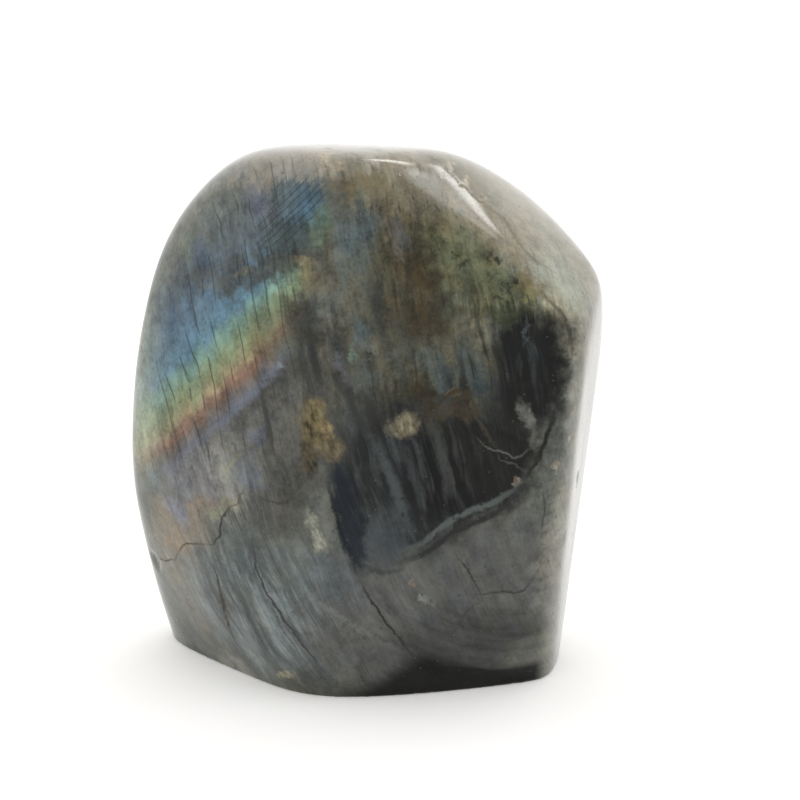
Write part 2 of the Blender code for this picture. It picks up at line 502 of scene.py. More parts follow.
# Grains of other minerals set in the stone, with ragged borders
INCLUSIONS = [
    ("golden brown", (-9.4, 56.5), (2.9, 5.0), 10, 0.9, (100, 89, 61), 0.85),
    ("golden brown foot", (-6.0, 52.2), (2.0, 2.2), -20, 0.9, (102, 92, 70), 0.8),
    ("golden dark", (-10.6, 50.5), (1.6, 4.0), 10, 0.9, (68, 60, 42), 0.8),
    ("golden bright", (-9, 60), (1.4, 2.2), 0, 0.9, (128, 116, 84), 0.5),
    ("golden bright below", (-6.8, 55.5), (1.0, 1.4), 0, 0.9, (130, 116, 86), 0.7),
    ("beige", (7.8, 56.8), (2.5, 2.2), 20, 0.9, (126, 118, 98), 0.8),
    ("beige left", (5.4, 56.2), (1.4, 1.2), 0, 0.9, (108, 102, 84), 0.6),
    ("pale splinter", (-9.4, 35.8), (1.1, 4.2), 20, 0.9, (136, 137, 124), 0.75),
    ("pale splinter foot", (-8.4, 33.0), (1.7, 1.5), 30, 0.9, (134, 133, 120), 0.7),
    ("white crystals", (31.2, 58), (1.2, 3.0), 30, 0.9, (108, 110, 104), 0.6),
    ("white crystals foot", (32.6, 53), (0.8, 2.2), 10, 0.9, (104, 106, 100), 0.5),
    ("bluish crystals", (31, 74), (0.5, 2.4), 0, 0.9, (80, 88, 92), 0.5),
    ("pink spot", (29.5, 44.5), (0.8, 0.7), 0, 0.8, (142, 130, 116), 0.7),
    ("foot pale patch", (-15.5, 3.5), (1.8, 1.1), 20, 0.8, (136, 131, 112), 0.8),
    ("foot spot", (8.8, 24.6), (0.6, 0.8), 0, 0.9, (124, 108, 92), 0.6),
    ("foot splinter", (12.0, 20.6), (0.7, 2.2), 40, 0.9, (124, 127, 120), 0.7),
    ("pale speck", (-16, 68), (0.9, 0.9), 0, 0.9, (126, 134, 134), 0.5),
    ("break grain", (-23.8, 84.8), (1.9, 0.8), 20, 0.9, (118, 114, 98), 0.5),
    ("break grain left", (-29.6, 81.3), (2.2, 0.6), 10, 0.9, (112, 108, 94), 0.4),
    ("break grain right", (-11.2, 88), (2.0, 0.7), -10, 0.9, (126, 118, 94), 0.55),
    ("lace grain", (17, 62.7), (1.5, 0.6), 10, 0.9, (104, 94, 74), 0.6),
    ("lace grain right", (21, 60.6), (0.6, 1.2), 10, 0.9, (98, 92, 76), 0.5),
    ("right pink one", (37.2, 47), (0.8, 1.2), 0, 0.8, (148, 138, 126), 0.6),
    ("right pink two", (40, 53), (0.6, 1.0), 0, 0.8, (150, 141, 130), 0.6),
    ("dark grain one", (19.2, 86.7), (1.3, 0.6), 10, 0.9, (46, 50, 38), 0.7),
    ("dark grain two", (17.5, 88.5), (0.8, 0.6), 30, 0.9, (50, 52, 40), 0.7),
    ("dark grain three", (23, 87.5), (1.2, 0.5), -20, 0.9, (54, 56, 44), 0.7),
    ("dark grain four", (25.7, 87.3), (0.7, 0.5), 0, 0.9, (54, 54, 44), 0.7),
    ("dark grain five", (27, 82.5), (1.5, 0.8), -40, 0.9, (40, 44, 32), 0.7),
    ("dark grain six", (26, 80.8), (1.2, 0.4), 0, 0.9, (46, 48, 38), 0.7),
    ("dark grain seven", (29, 83.5), (0.9, 0.6), 20, 0.9, (52, 52, 40), 0.7),
]

# The same on the crest, along the edge of the crown
CROWN_INCLUSIONS = [
    ("crown grain", (-7.4, 105), (1.5, 2.2), -20, 0.9, (170, 157, 136), 0.55),
    ("crown grain right", (-4.4, 104.3), (1.6, 1.0), -20, 0.9, (164, 150, 128), 0.5),
    ("crest grain", (16.3, 102.7), (1.8, 0.9), 40, 0.9, (182, 171, 152), 0.6),
    ("crest grain middle", (19.6, 99.8), (1.3, 0.7), 40, 0.9, (176, 164, 144), 0.55),
    ("crest grain below", (22.8, 97.0), (0.9, 0.5), 40, 0.9, (170, 158, 138), 0.5),
]

# Zones of body colour on the back, and of painted sheen along its edge and crown, written like those of the
# front
BACK_ZONES = [
    ("back slate", (20, 82), (20, 16), -40, 0.7, (88, 93, 97), 0.85),
    ("back olive", (-16, 84), (15, 14), 20, 0.8, (84, 82, 64), 0.85),
    ("back brown", (-7, 72), (4, 11), 10, 0.9, (72, 62, 46), 0.8),
    ("back grey", (14, 36), (24, 16), 10, 0.8, (98, 100, 95), 0.9),
    ("back dark", (-12, 42), (15, 13), -30, 0.9, (34, 37, 38), 0.92),
    ("back dark middle", (-20, 52), (9, 8), -50, 0.9, (26, 28, 28), 0.9),
    ("back dark tip", (-28, 63), (7, 13), 10, 0.9, (20, 22, 21), 0.92),
    ("back blue", (2, 50), (6, 10), -20, 0.9, (62, 78, 92), 0.6),
    ("back foot", (0, 2), (30, 7), 0, 0.8, (52, 52, 49), 0.85),
    # Painted sheen along the back's edge and along its crown
    ("painted sheen of the back edge", (42, 50), (8, 34), 0, 0.9, (146, 145, 135), 0.7),
    ("back crown", (0, 104), (30, 6), 0, 0.9, (142, 138, 124), 0.8),
]

# Grains of the back
BACK_INCLUSIONS = [
    ("back beige", (7, 58), (2.6, 4.6), -20, 0.9, (124, 114, 92), 0.9),
    ("back beige foot", (4.5, 53), (2.0, 1.8), 0, 0.9, (112, 104, 84), 0.8),
    ("back pale", (-25, 26), (2.0, 3.6), -30, 0.9, (132, 130, 116), 0.8),
    ("back golden", (22, 66), (1.8, 2.6), 10, 0.9, (122, 106, 74), 0.7),
    ("back spot", (-2, 22), (1.0, 0.8), 0, 0.8, (138, 128, 110), 0.8),
]

# Cracks and a vein of the back: points, half width, colour, strength
BACK_TRACES = [
    ("back crack", [(-38, 30), (-30, 33), (-22, 31), (-14, 27), (-4, 28), (6, 24), (14, 25)],
     0.16, (62, 60, 55), 0.6),
    ("back crack branch", [(-14, 27), (-12, 20), (-13, 13), (-10, 6)], 0.14, (64, 63, 58), 0.55),
    ("back vein", [(-34, 46), (-28, 42), (-20, 33), (-12, 30)], 0.6, (92, 96, 92), 0.45),
    ("back crown crack", [(12, 100), (14, 92), (18, 86), (17, 78)], 0.14, (70, 68, 61), 0.5),
]

# Cracks, veins and lone streaks of the front: points, half width, colour, strength
TRACES = [
    ("rim line", [(-36.5, 92), (-34, 96), (-31, 99.5), (-27.5, 102.5)], 0.2, (84, 82, 74), 0.6),
    ("lavender line", [(-30.5, 53), (-25.5, 58), (-22.3, 60.9), (-19.2, 64.5), (-15.9, 67.3)],
     0.8, (112, 118, 130), 0.28),
    ("short crack", [(-30.6, 50.8), (-30.2, 48.3)], 0.22, (52, 50, 48), 0.8),
    ("yellow streak", [(-24.6, 49.5), (-27.2, 45.6)], 0.35, (142, 142, 112), 0.5),
    ("long crack foot",
     [(-44, 22.8), (-42, 21.8), (-39.5, 22.5), (-38.3, 23.5),
      (-36.5, 27), (-35, 28.8), (-33.5, 29.5), (-31.5, 30)],
     0.17, (78, 66, 54), 0.8),
    ("long crack head",
     [(-31.5, 30), (-30.2, 30.3), (-29.3, 31.5), (-28.2, 33.5), (-27.8, 35.5), (-27.5, 37), (-26, 39)],
     0.19, (56, 50, 42), 0.8),
    ("long crack tip", [(-26, 39), (-24.5, 40.2), (-23.8, 41.8), (-23.3, 43.5)], 0.16, (70, 66, 58), 0.6),
    ("long crack ghost", [(-20, 42), (-15, 41.5), (-12, 45), (-10, 47)], 0.2, (62, 60, 56), 0.5),
    ("crack b", [(-29.6, 26), (-28.8, 22.3), (-28.3, 19.1), (-27.5, 13.8), (-26.3, 9)],
     0.3, (60, 58, 53), 0.7),
    ("crack d", [(-21.8, 33), (-19.8, 24.1), (-16.6, 18.4), (-13.5, 13.7), (-8.1, 5.3)],
     0.2, (64, 66, 65), 0.6),
    ("light thread", [(-17.6, 30.7), (-13.3, 24.7), (-5.8, 18.8), (0.6, 13.9), (7, 9.9)],
     0.5, (118, 122, 118), 0.18),
    ("crack e", [(-0.4, 24.6), (2, 20), (5.5, 14.5), (9.3, 8.7)], 0.24, (50, 50, 48), 0.65),
    ("crack f", [(18.5, 29), (20, 26.5), (21.5, 23.5), (22.8, 21)], 0.2, (54, 54, 50), 0.75),
    ("crack f foot", [(23, 19.5), (20, 17.5), (18, 14), (17, 12.5)], 0.2, (58, 58, 54), 0.6),
    ("crack g", [(22, 21), (27, 21), (31, 21), (33, 23), (34.5, 27)], 0.2, (60, 60, 56), 0.65),
    ("crack g up", [(34.6, 34), (34.8, 38), (34.8, 42)], 0.2, (50, 50, 47), 0.55),
    ("crack h", [(-39, 15), (-37, 10), (-35, 5)], 0.2, (86, 86, 82), 0.5),
    ("light vein", [(7.2, 31.6), (11.5, 32.9), (15.7, 36.6), (20, 38.7), (26, 41), (31, 45)],
     0.6, (82, 88, 87), 0.5),
    ("dark vein", [(7.6, 29.2), (12.4, 31.1), (16.7, 34.3), (20.9, 36.3), (26.2, 38.7), (30, 42)],
     0.65, (42, 44, 43), 0.55),
    ("dark vein end", [(31, 45), (33, 48), (35, 53), (36.5, 58)], 0.4, (30, 31, 30), 0.7),
    ("pale edge", [(22, 53.5), (24.5, 51.3), (27, 50.6), (29, 49.6), (31.5, 50.8)], 0.22, (92, 94, 88), 0.55),
    ("pale edge fork", [(25.5, 51), (26.5, 49), (29, 48), (30.5, 47)], 0.2, (86, 88, 82), 0.45),
    ("lobe edge", [(-6.9, 46), (-5.6, 40), (-3.8, 34), (-1.2, 28.5)], 0.4, (24, 29, 36), 0.5),
    ("lobe foot", [(-0.5, 28.8), (0.8, 28), (2.9, 27.2), (5.7, 27.1), (7.8, 28)], 0.45, (54, 57, 59), 0.5),
    ("dark strand", [(-5.4, 66.7), (-2.9, 62), (-0.2, 56.5), (2.4, 51)], 0.6, (52, 54, 53), 0.35),
    ("dark strand right", [(0.2, 62.8), (2.6, 59), (5, 55)], 0.5, (48, 50, 48), 0.4),
    ("dark strand high", [(-11, 75), (-9.6, 70.5), (-8.6, 65)], 0.7, (44, 45, 44), 0.5),
    ("dark strand left", [(-20.5, 65.5), (-18.6, 58), (-17.6, 51)], 0.4, (56, 56, 54), 0.45),
    ("heart streak", [(1.6, 54.5), (3, 51.6), (5.7, 45), (8.2, 37), (9, 34)], 1.0, (68, 73, 74), 0.5),
    ("heart streak middle", [(7.2, 53), (9.5, 46), (11.5, 40)], 0.7, (58, 62, 64), 0.4),
    ("heart streak right", [(12.8, 59), (13.5, 56.3), (15.1, 49.1), (16.6, 42.3)], 0.9, (63, 66, 64), 0.45),
    ("lace", [(12, 59.5), (14.5, 60.9), (16.2, 62.4), (18.3, 63.1), (20.2, 62.6)], 0.5, (56, 48, 35), 0.7),
    ("lace fall", [(20.2, 62.6), (21.2, 59.9), (21.9, 57.7), (23.5, 54.8), (25.1, 52)],
     0.4, (60, 56, 46), 0.6),
    ("crest crumbs", [(14.5, 103.6), (18.8, 99.7), (22.1, 97), (27.3, 92.9)], 0.26, (104, 92, 70), 0.5),
    ("shoulder line", [(27.3, 93.1), (28.5, 91.3), (31.6, 87.4), (36, 84)], 0.2, (92, 85, 66), 0.4),
    ("near black rim", [(35, 80), (38.5, 76), (39.8, 70)], 0.35, (60, 56, 48), 0.5),
]

# Painted sheen of the facets sets in between these depths below their planes
FACET_FALL = (-3.2, -0.2)  # millimetres below a facet's plane between which its tint sets in

# Facets given a painted sheen, paler than the body where they catch the room's light: colour and strength
FACET_SHEENS = {
    "right_slope": ((178, 173, 160), 0.9),
    "shoulder_outer": ((162, 157, 142), 0.6),
    "top": ((168, 162, 148), 0.6),
    "shoulder": ((128, 122, 108), 0.4),
    "right_side": ((150, 149, 141), 0.7),
}

# Colours across the flash, labradorescence reflected inside the lamellae and painted here as fixed colour,
# from its lower right border outwards: millimetres from the red line, colour
FLASH = [
    (-6, (88, 89, 90)),
    (-3.6, (100, 103, 112)),
    (-1.7, (108, 100, 96)),
    (-0.7, (120, 97, 84)),
    (0.3, (136, 110, 94)),
    (1.3, (150, 136, 108)),
    (2.8, (136, 139, 107)),
    (4.8, (128, 144, 115)),
    (6.8, (116, 146, 134)),
    (9.5, (96, 128, 146)),
    (14, (84, 106, 124)),
    (18.5, (80, 94, 106)),
    (24, (82, 90, 96)),
]
FLASH_START = (-35, 53)  # a point of the red line
BACK_FLASH_START = (-30, 48)  # the same on the back, where across is counted the other way
FLASH_TURN = 47.5  # of the red line, from level

FLASH_STRENGTH, BACK_FLASH_STRENGTH = 0.9, 0.7
FLASH_STEP, FLASH_STREAK = 1.1, 2.2  # how far one lamella, and the fibres, shift the colours outwards
FLASH_INNER_BORDER, FLASH_OUTER_BORDER = (-6, -3), (25, 17)  # out from the red line
FLASH_LOWER_END, FLASH_UPPER_END = (-22, -8), 33.5  # along the red line from the start
FLASH_END_SLANT, FLASH_END_RAGGEDNESS = 1.7, 8  # how the upper end draws back outwards, and how uneven it is
FLASH_TAIL, BACK_FLASH_TAIL = 7, 18  # over which the upper end fades
FLASH_DIM, FLASH_DIMNESS = (84, 91), 0.65  # heights between which it dims, and by how much
# Painted sheen where the flash reaches the left edge of the stone
FLASH_RIM_SHEEN = (-37, -46)  # across, between which it turns pale at the edge of the stone
FLASH_RIM_SHEEN_COLOUR, FLASH_RIM_SHEEN_STRENGTH = (142, 148, 132), 0.7
ON_FRONT, ON_BACK = (2, -5), (6, 14)  # depths between which the flash and the lines of a face come in

# Specks: spacing, share of places that have one, colour, strength
SPECKS = [
    (1.1, 0.17, (140, 139, 126), 0.2),
    (1.7, 0.25, (40, 42, 36), 0.4),
]
SPECK_EDGE, SPECK_CORE = 0.22, 0.08  # in spacings
SPECK_FULL = 0.6  # share of the specks that reach their full strength

ARC_HUB = (31, 44)  # centre of the arcs that sweep round the right of the foot
ARC_BANDS = (1.7, 3, 0.6)  # their noise: size, detail, roughness
ARC_DEPTH, ARC_LENGTH = 0.3, 0.11  # how fast it changes with depth and along the arcs
ARC_WEDGE, ARC_RAGGEDNESS = (38.5, 42), 5  # radii between which a dark wedge begins, and how uneven it is
WEDGE_SLANT, WEDGE_SIDE = 1.6, (-8, 2)  # the wedge's left border rises this steeply, and fades between these
WEDGE_TOP = (22, 12)  # heights between which the wedge comes in
WEDGE_COLOUR, WEDGE_STRENGTH = (23, 23, 22), 0.95

# Fibres along the lamellae: size, how fast they change with depth and height, detail, roughness
FINE_FIBRES = (0.40, 0.25, 0.07, 2, 0.6)
FIBRES = (1.4, 0.3, 0.12, 3, 0.6)
BROAD_FIBRES = (5, 0.4, 0.2, 2, 0.55)
WISPS = (2.0, 0.3, 0.15, 3, 0.62)
WARM_BANDS = (5.5, 0.6, 0.6, 4, 0.65)
UPRIGHT_FLECKS = (0.8, 0.4, 0.35, 2, 0.6)
CRUMBS = (1.4, 0.7, 0.55, 4, 0.68)

# Clouds, alike in every direction: size, detail and, where it isn't one half, roughness
LAMELLA_BENDS = (14, 2)
CLOUDS = (3.0, 4, 0.62)
SPECKLE = (0.7, 2, 0.65)
ZONE_DRIFT = (6, 4, 0.65)
GROUND_CLOUDS = (22, 3, 0.6)
SILKY_CLOUDS = (12, 1)
GRAIN_BORDERS = (2.0, 4, 0.64)
POLISH_WAVES = (9, 1)
PIN_HOLES = (1.4, 1, 0.4)

GROUND_DARK, GROUND_PALE = (66, 70, 70), (116, 118, 108)
COOL_CAST, WARM_CAST = (0.90, 1.0, 1.06, 1), (1.14, 1.0, 0.80, 1)
MIDDLE = (0.5, 0.5, 0.5)  # what the noises lie evenly about

# How far things wander from their drawn places, in millimetres
LAMELLA_WANDER = 3
ZONE_WANDER, GRAIN_WANDER, LINE_WANDER = (9, 9, 11), (4.2, 4.2, 4.2), (1.7, 0, 1.7)
FIBRE_SHOVE, FINE_FIBRE_SHOVE = 6, 2  # up or down, from one fibre to the next
SHOVE_ACROSS = -0.2  # how far a shove goes across as well

# Dark lines between lamellae
CLEAVAGE_EDGE, CLEAVAGE_CORE = 0.24, 0.03
CLEAVAGE_COLOUR, CLEAVAGE_STRENGTH, CLEAVAGE_STRENGTH_UPPER_LEFT = (46, 51, 50), 0.2, 0.42

# Slanted hatch over the upper slate, in uneven groups
HATCH_PATCH = ((-14, 97), (8.5, 5.8), 40, 0.8)
HATCH_SPACING, HATCH_WANDER = 1.05, 0.5
HATCH_ACROSS, HATCH_UP = 0.69, 0.73  # direction square to the lines
HATCH_EDGE, HATCH_CORE = 0.2, 0.02
HATCH_COLOUR, HATCH_STRENGTH = (46, 52, 44), 0.55

# Short upright flecks below the crown
FLECK_PATCH = ((11, 93), (15, 11), -20, 0.9)
FLECK_COLOUR, FLECK_STRENGTH = (52, 47, 33), 0.6

HEART_PATCH = ((14, 84), (28, 30), 0, 0.9)  # where clouds and warm bands are strongest

# Heights, places across and radii between which fibres and clouds grow calm
CALM_FOOT, CALM_CROWN = (50, 34), (96, 102)
CALM_RIGHT_HEIGHT, CALM_RIGHT_ACROSS, CALM_RIGHT_ARCS = (38, 28), (-4, 8), (20, 32)

CLEAVAGE_LEFT, CLEAVAGE_UPPER = (-8, -20), (46, 54)  # across and up, between which it grows stronger
CLEAVAGE_SIDES = (7, 14)  # depths, to the front or back, between which it comes in

CRUMB_CONTRAST, CRUMB_SHIFT = 5.2, 1.6  # make of the noise of the crumbs a tone that lies about 1
VEIN_THINNEST = 0.5  # half width from which a line is a vein in the polish, and no longer a crack
TAPER = 1.0  # how far a line fades in beyond and before its end points
LINE_EDGE, LINE_CORE = 1.6, 0.3  # in half widths

# How much duller than the polish these are
GRAIN_DULLNESS, CRACK_DULLNESS, SAWN_DULLNESS = 0.22, 0.3, 0.25
SAWN_HEIGHT = 0.3
POLISH = 0.09
GLOSS_INDEX = 1.26
WAVE_HEIGHT, PIN_HOLE_DEPTH = 0.09, 0.05


def lean_coordinate(x, z):
    """Distance across the lamellae, in millimetres, which follows them as they lean."""
    fall = (LEAN_TOP - z) / LEAN_FALL
    return x - fall * LEAN_STEADY - fall * fall * fall * LEAN_GROWING


class Turned:
    """A place seen at several turns about the axis from front to back, each worked out once."""

    def __init__(self, graph, place):
        self.graph, self.kept = graph, {0: place}

    def at(self, turn):
        """The place turned by that many degrees."""
        if turn not in self.kept:
            self.kept[turn] = self.graph.node(
                "ShaderNodeVectorRotate",
                {"rotation_type": "Y_AXIS"},
                {"Vector": self.kept[0], "Angle": radians(turn)},
            )
        return self.kept[turn]

    def patch(self, middle, halves, turn, softness, strength=1.0, face=FRONT):
        """Share of a soft-edged lens-shaped patch: its strength well inside it, 0 outside."""
        across, up = middle
        swing = radians(turn)
        forward, reach = face
        middle = (across * cos(swing) + up * sin(swing), forward, up * cos(swing) - across * sin(swing))
        halves = (halves[0], reach, halves[1])
        inside = self.graph.vector(
            "MULTIPLY_ADD",
            self.at(turn),
            tuple(1 / half for half in halves),
            tuple(-at / half for at, half in zip(middle, halves)),
        )
        away = self.graph.vector("LENGTH", inside, output=1)
        return self.graph.fade(away, 1 + softness / 2, 1 - softness / 2, strength)

    def patches(self, listed, face):
        """Share and colour of each patch of a list in turn, for one of the marked faces."""
        for _, middle, halves, turn, softness, shade, strength in listed:
            yield self.patch(middle, halves, turn, softness, strength, face), paint(*shade)

    def lay(self, colour, listed, face, within=None):
        """A colour with the patches of a list laid over it in turn, if need be only within a mask."""
        for share, shade in self.patches(listed, face):
            colour = self.graph.mix(share if within is None else share * within, colour, shade)
        return colour


class Fabric:
    """The make of the stone at a place: where it lies, its fibres and clouds, and how zones wander there."""

    def __init__(self, graph, place):
        self.graph, self.place = graph, place
        self.x, self.y, self.z = graph.split(place)
        self.u = (
            lean_coordinate(self.x, self.z)
            + self.y * LEAN_BACK
            + (graph.grain(place, *LAMELLA_BENDS) - 0.5) * LAMELLA_WANDER
        )
        self.fine = self.fibres(*FINE_FIBRES)
        self.middle = self.fibres(*FIBRES)
        self.broad = self.fibres(*BROAD_FIBRES)
        self.cloud = graph.grain(place, *CLOUDS)
        self.speckle = graph.grain(place, *SPECKLE)
        drift = graph.vector("SUBTRACT", graph.grain(place, *ZONE_DRIFT, output=1), MIDDLE)
        wandered = graph.vector("MULTIPLY_ADD", drift, ZONE_WANDER, place)
        shove = (self.middle - 0.5) * FIBRE_SHOVE + (self.fine - 0.5) * FINE_FIBRE_SHOVE
        shove = graph.join(shove * SHOVE_ACROSS, 0, shove)
        self.warped = Turned(graph, graph.vector("ADD", wandered, shove))

    def fibres(self, size, deep, high, detail, roughness):
        """Noise drawn out along the lamellae."""
        drawn_out = self.graph.join(self.u, self.y * deep, self.z * high)
        return self.graph.grain(drawn_out, size, detail, roughness)


def trace(graph, x, z, points, half_width, strength):
    """Share of a line drawn through points of a face: its strength on it, tapering out at both ends."""
    reach_x = max(p[0] for p in points) - min(p[0] for p in points)
    reach_z = max(p[1] for p in points) - min(p[1] for p in points)
    along, across = (0, 1) if reach_x > reach_z else (1, 0)
    points = sorted((point[along], point[across]) for point in points)
    (start, first), (end, last) = points[0], points[-1]
    slant = cos(atan2(abs(last - first), end - start))
    middle = graph.node("ShaderNodeFloatCurve", {"curve": points}, {"Value": (x, z)[along]})
    gap = abs((x, z)[across] - middle)
    tips = [(start - TAPER, 0), (start + TAPER, 1), (end - TAPER, 1), (end + TAPER, 0)]
    ends = graph.node("ShaderNodeFloatCurve", {"curve": tips}, {"Value": (x, z)[along]})
    return graph.fade(gap, half_width * LINE_EDGE / slant, half_width * LINE_CORE / slant, strength) * ends


def flash(graph, x, z, start, tail, step, streak):
    """Painted colour of a flash at a place, a reflection inside the lamellae fixed as colour, and its share.
    Its upper end fades over the tail.
    """
    turn = radians(FLASH_TURN)
    from_x, from_z = x - start[0], z - start[1]
    outward = from_z * cos(turn) - from_x * sin(turn)
    along = from_z * sin(turn) + from_x * cos(turn)
    outward = outward + (step - 0.5) * FLASH_STEP + (streak - 0.5) * FLASH_STREAK
    first, last = FLASH[0][0], FLASH[-1][0]
    stops = [((away - first) / (last - first), paint(*shade)) for away, shade in FLASH]
    colour = graph.node("ShaderNodeValToRGB", {"stops": stops}, {"Fac": (outward - first) / (last - first)})
    end = along - outward * FLASH_END_SLANT + (streak - 0.5) * FLASH_END_RAGGEDNESS
    share = graph.fade(outward, *FLASH_INNER_BORDER) * graph.fade(outward, *FLASH_OUTER_BORDER)
    share = share * graph.fade(end, FLASH_UPPER_END + tail / 2, FLASH_UPPER_END - tail / 2)
    share = share * (1 - graph.fade(z, *FLASH_DIM) * FLASH_DIMNESS)
    return colour, share * graph.fade(along, *FLASH_LOWER_END)


def on_facet(graph, place, name):
    """Share of a ground facet: 1 on its plane, 0 where the stone falls away from it."""
    heading, rise, away, _ = GROUND_FACETS[name]
    normal = facing(heading, rise)
    heart = Vector((0, 0, HEART_HEIGHT)) / MILLIMETRE - MARKS_ZERO
    plane = heart.dot(normal) + away / MILLIMETRE
    return graph.fade(graph.vector("DOT_PRODUCT", place, tuple(normal), output=1) - plane, *FACET_FALL)


def lay_body(graph, fabric):
    """Ground colour of the stone, with the broad zones of the front and the back over it."""
    ground = graph.grain(fabric.place, *GROUND_CLOUDS)
    colour = graph.mix(ground, paint(*GROUND_DARK), paint(*GROUND_PALE))
    colour = fabric.warped.lay(colour, ZONES, FRONT)
    return fabric.warped.lay(colour, BACK_ZONES, BACK)


def lay_streaks(graph, fabric, colour):
    """Light streaks inside the dark places, and dark smears, all along the lamellae."""
    wisps = fabric.fibres(*WISPS)
    streaks = graph.fade(wisps * 0.6 + fabric.middle * 0.25 + fabric.fine * 0.15, 0.48, 0.62)
    colour = fabric.warped.lay(colour, GLEAMS, FRONT, streaks)
    smears = graph.fade(wisps, 0.53, 0.36)
    return fabric.warped.lay(colour, SMEARS, FRONT, smears)


def foot_arcs(graph, fabric):
    """Radius of the arcs that sweep round the foot on the right, and their light and dark bands."""
    x, y, z = fabric.x, fabric.y, fabric.z
    from_hub = graph.vector("SUBTRACT", graph.join(x, 0, z), (ARC_HUB[0], 0, ARC_HUB[1]))
    arc = graph.vector("LENGTH", from_hub, output=1)
    return arc, graph.grain(graph.join(arc, y * ARC_DEPTH, (x - z) * ARC_LENGTH), *ARC_BANDS)


def lay_wedge(graph, fabric, colour, arc, bands):
    """The dark wedge that the arcs end in."""
    x, z = fabric.x, fabric.z
    beyond = graph.fade(arc + (bands - 0.5) * ARC_RAGGEDNESS, *ARC_WEDGE)
    wedge = beyond * graph.fade(x - z * WEDGE_SLANT, *WEDGE_SIDE) * graph.fade(z, *WEDGE_TOP)
    return graph.mix(wedge * WEDGE_STRENGTH, colour, paint(*WEDGE_COLOUR))


def lay_flashes(graph, fabric, colour, on_front, on_back):
    """The flashes of the back and the front, reflections painted as fixed colour, which step from one lamella
    to the next, and a painted sheen where the front one reaches the left edge.
    """
    x, z = fabric.x, fabric.z
    step = graph.lot(graph.stripes(fabric.u / LAMELLA_SPACING, "F1", "Color"))
    streak = fabric.middle * 0.6 + fabric.cloud * 0.4
    shade, share = flash(graph, x * -1, z, BACK_FLASH_START, BACK_FLASH_TAIL, step, streak)
    colour = graph.mix(share * on_back * BACK_FLASH_STRENGTH, colour, shade)
    shade, share = flash(graph, x, z, FLASH_START, FLASH_TAIL, step, streak)
    colour = graph.mix(share * on_front * FLASH_STRENGTH, colour, shade)
    # Painted sheen where the flash reaches the left edge
    rim = graph.fade(x, *FLASH_RIM_SHEEN)
    return graph.mix(rim * share * FLASH_RIM_SHEEN_STRENGTH, colour, paint(*FLASH_RIM_SHEEN_COLOUR))


def paint_facet_sheen(graph, fabric, colour):
    """Painted sheen on the facets that catch the light, and how far a place lies under it."""
    facet_sheen = 0
    for name, (shade, strength) in FACET_SHEENS.items():
        share = on_facet(graph, fabric.place, name) * strength
        colour = graph.mix(share, colour, paint(*shade))
        facet_sheen = graph.sum("MAXIMUM", share, facet_sheen)
    return colour, facet_sheen


def shade_body(graph, fabric, colour, arc, bands, facet_sheen):
    """Fibres and clouds lighten and darken the body, less so at the foot, on the crown and under the painted
    sheen of the facets.
    """
    silk = graph.fade(graph.grain(fabric.place, *SILKY_CLOUDS), 0.35, 0.65)
    foot_right = graph.fade(arc, *CALM_RIGHT_ARCS) * graph.fade(fabric.z, *CALM_RIGHT_HEIGHT)
    foot_right = foot_right * graph.fade(fabric.x, *CALM_RIGHT_ACROSS)
    foot, crown = graph.fade(fabric.z, *CALM_FOOT), graph.fade(fabric.z, *CALM_CROWN)
    calm = foot * 0.25 + foot_right * 0.35 + crown * 0.45
    heart = fabric.warped.patch(*HEART_PATCH)
    fibre = (fabric.fine - 0.5) * (silk * 0.5 + 0.2) + (fabric.middle - 0.5) * (silk * 0.6 + 0.5)
    mottle = ((fabric.cloud - 0.5) * 1.6 + (fabric.speckle - 0.5) * 0.8) * (heart * 0.35 + 1)
    tone = (fibre + mottle) * (1 - calm) + (fabric.broad - 0.5) * 0.8 + (bands - 0.5) * foot_right * 1.3
    tone = 1 + tone * (1 - facet_sheen * 0.75)
    colour = graph.toned(colour, tone)
    warmth = graph.fade(fabric.fibres(*WARM_BANDS), 0.32, 0.68)
    cast = graph.mix(warmth, COOL_CAST, WARM_CAST)
    return graph.mix((heart * 0.7 + 0.3) * (1 - facet_sheen * 0.8), colour, cast, "MULTIPLY")


def draw_cleavage(graph, fabric, colour):
    """Broken dark lines between the lamellae of the front and the back, strongest at the upper left."""
    edge = graph.stripes(fabric.u / LAMELLA_SPACING, "DISTANCE_TO_EDGE", "Distance")
    breaks = graph.grain(graph.join(fabric.u * 0.5, fabric.y * 0.2, fabric.z * 0.3), 1.8, 2)
    lines = graph.fade(edge * LAMELLA_SPACING, CLEAVAGE_EDGE, CLEAVAGE_CORE) * graph.fade(breaks, 0.43, 0.56)
    upper_left = graph.fade(fabric.x, *CLEAVAGE_LEFT) * graph.fade(fabric.z, *CLEAVAGE_UPPER)
    lines = lines * graph.fade(abs(fabric.y), *CLEAVAGE_SIDES)
    strength = upper_left * CLEAVAGE_STRENGTH_UPPER_LEFT + CLEAVAGE_STRENGTH
    return graph.mix(lines * strength, colour, paint(*CLEAVAGE_COLOUR))


def draw_hatch(graph, fabric, colour):
    """Fine slanted lines over the upper slate, some of them left out."""
    square = fabric.z * HATCH_UP - fabric.x * HATCH_ACROSS + (fabric.cloud - 0.5) * HATCH_WANDER
    square = square / HATCH_SPACING
    edge = graph.stripes(square, "DISTANCE_TO_EDGE", "Distance")
    drawn = graph.lot(graph.stripes(square, "F1", "Color"))
    hatched = fabric.warped.patch(*HATCH_PATCH) * graph.fade(edge, HATCH_EDGE, HATCH_CORE)
    hatched = hatched * graph.fade(drawn, 0.25, 0.6) * graph.fade(fabric.broad, 0.32, 0.5)
    return graph.mix(hatched * HATCH_STRENGTH, colour, paint(*HATCH_COLOUR))


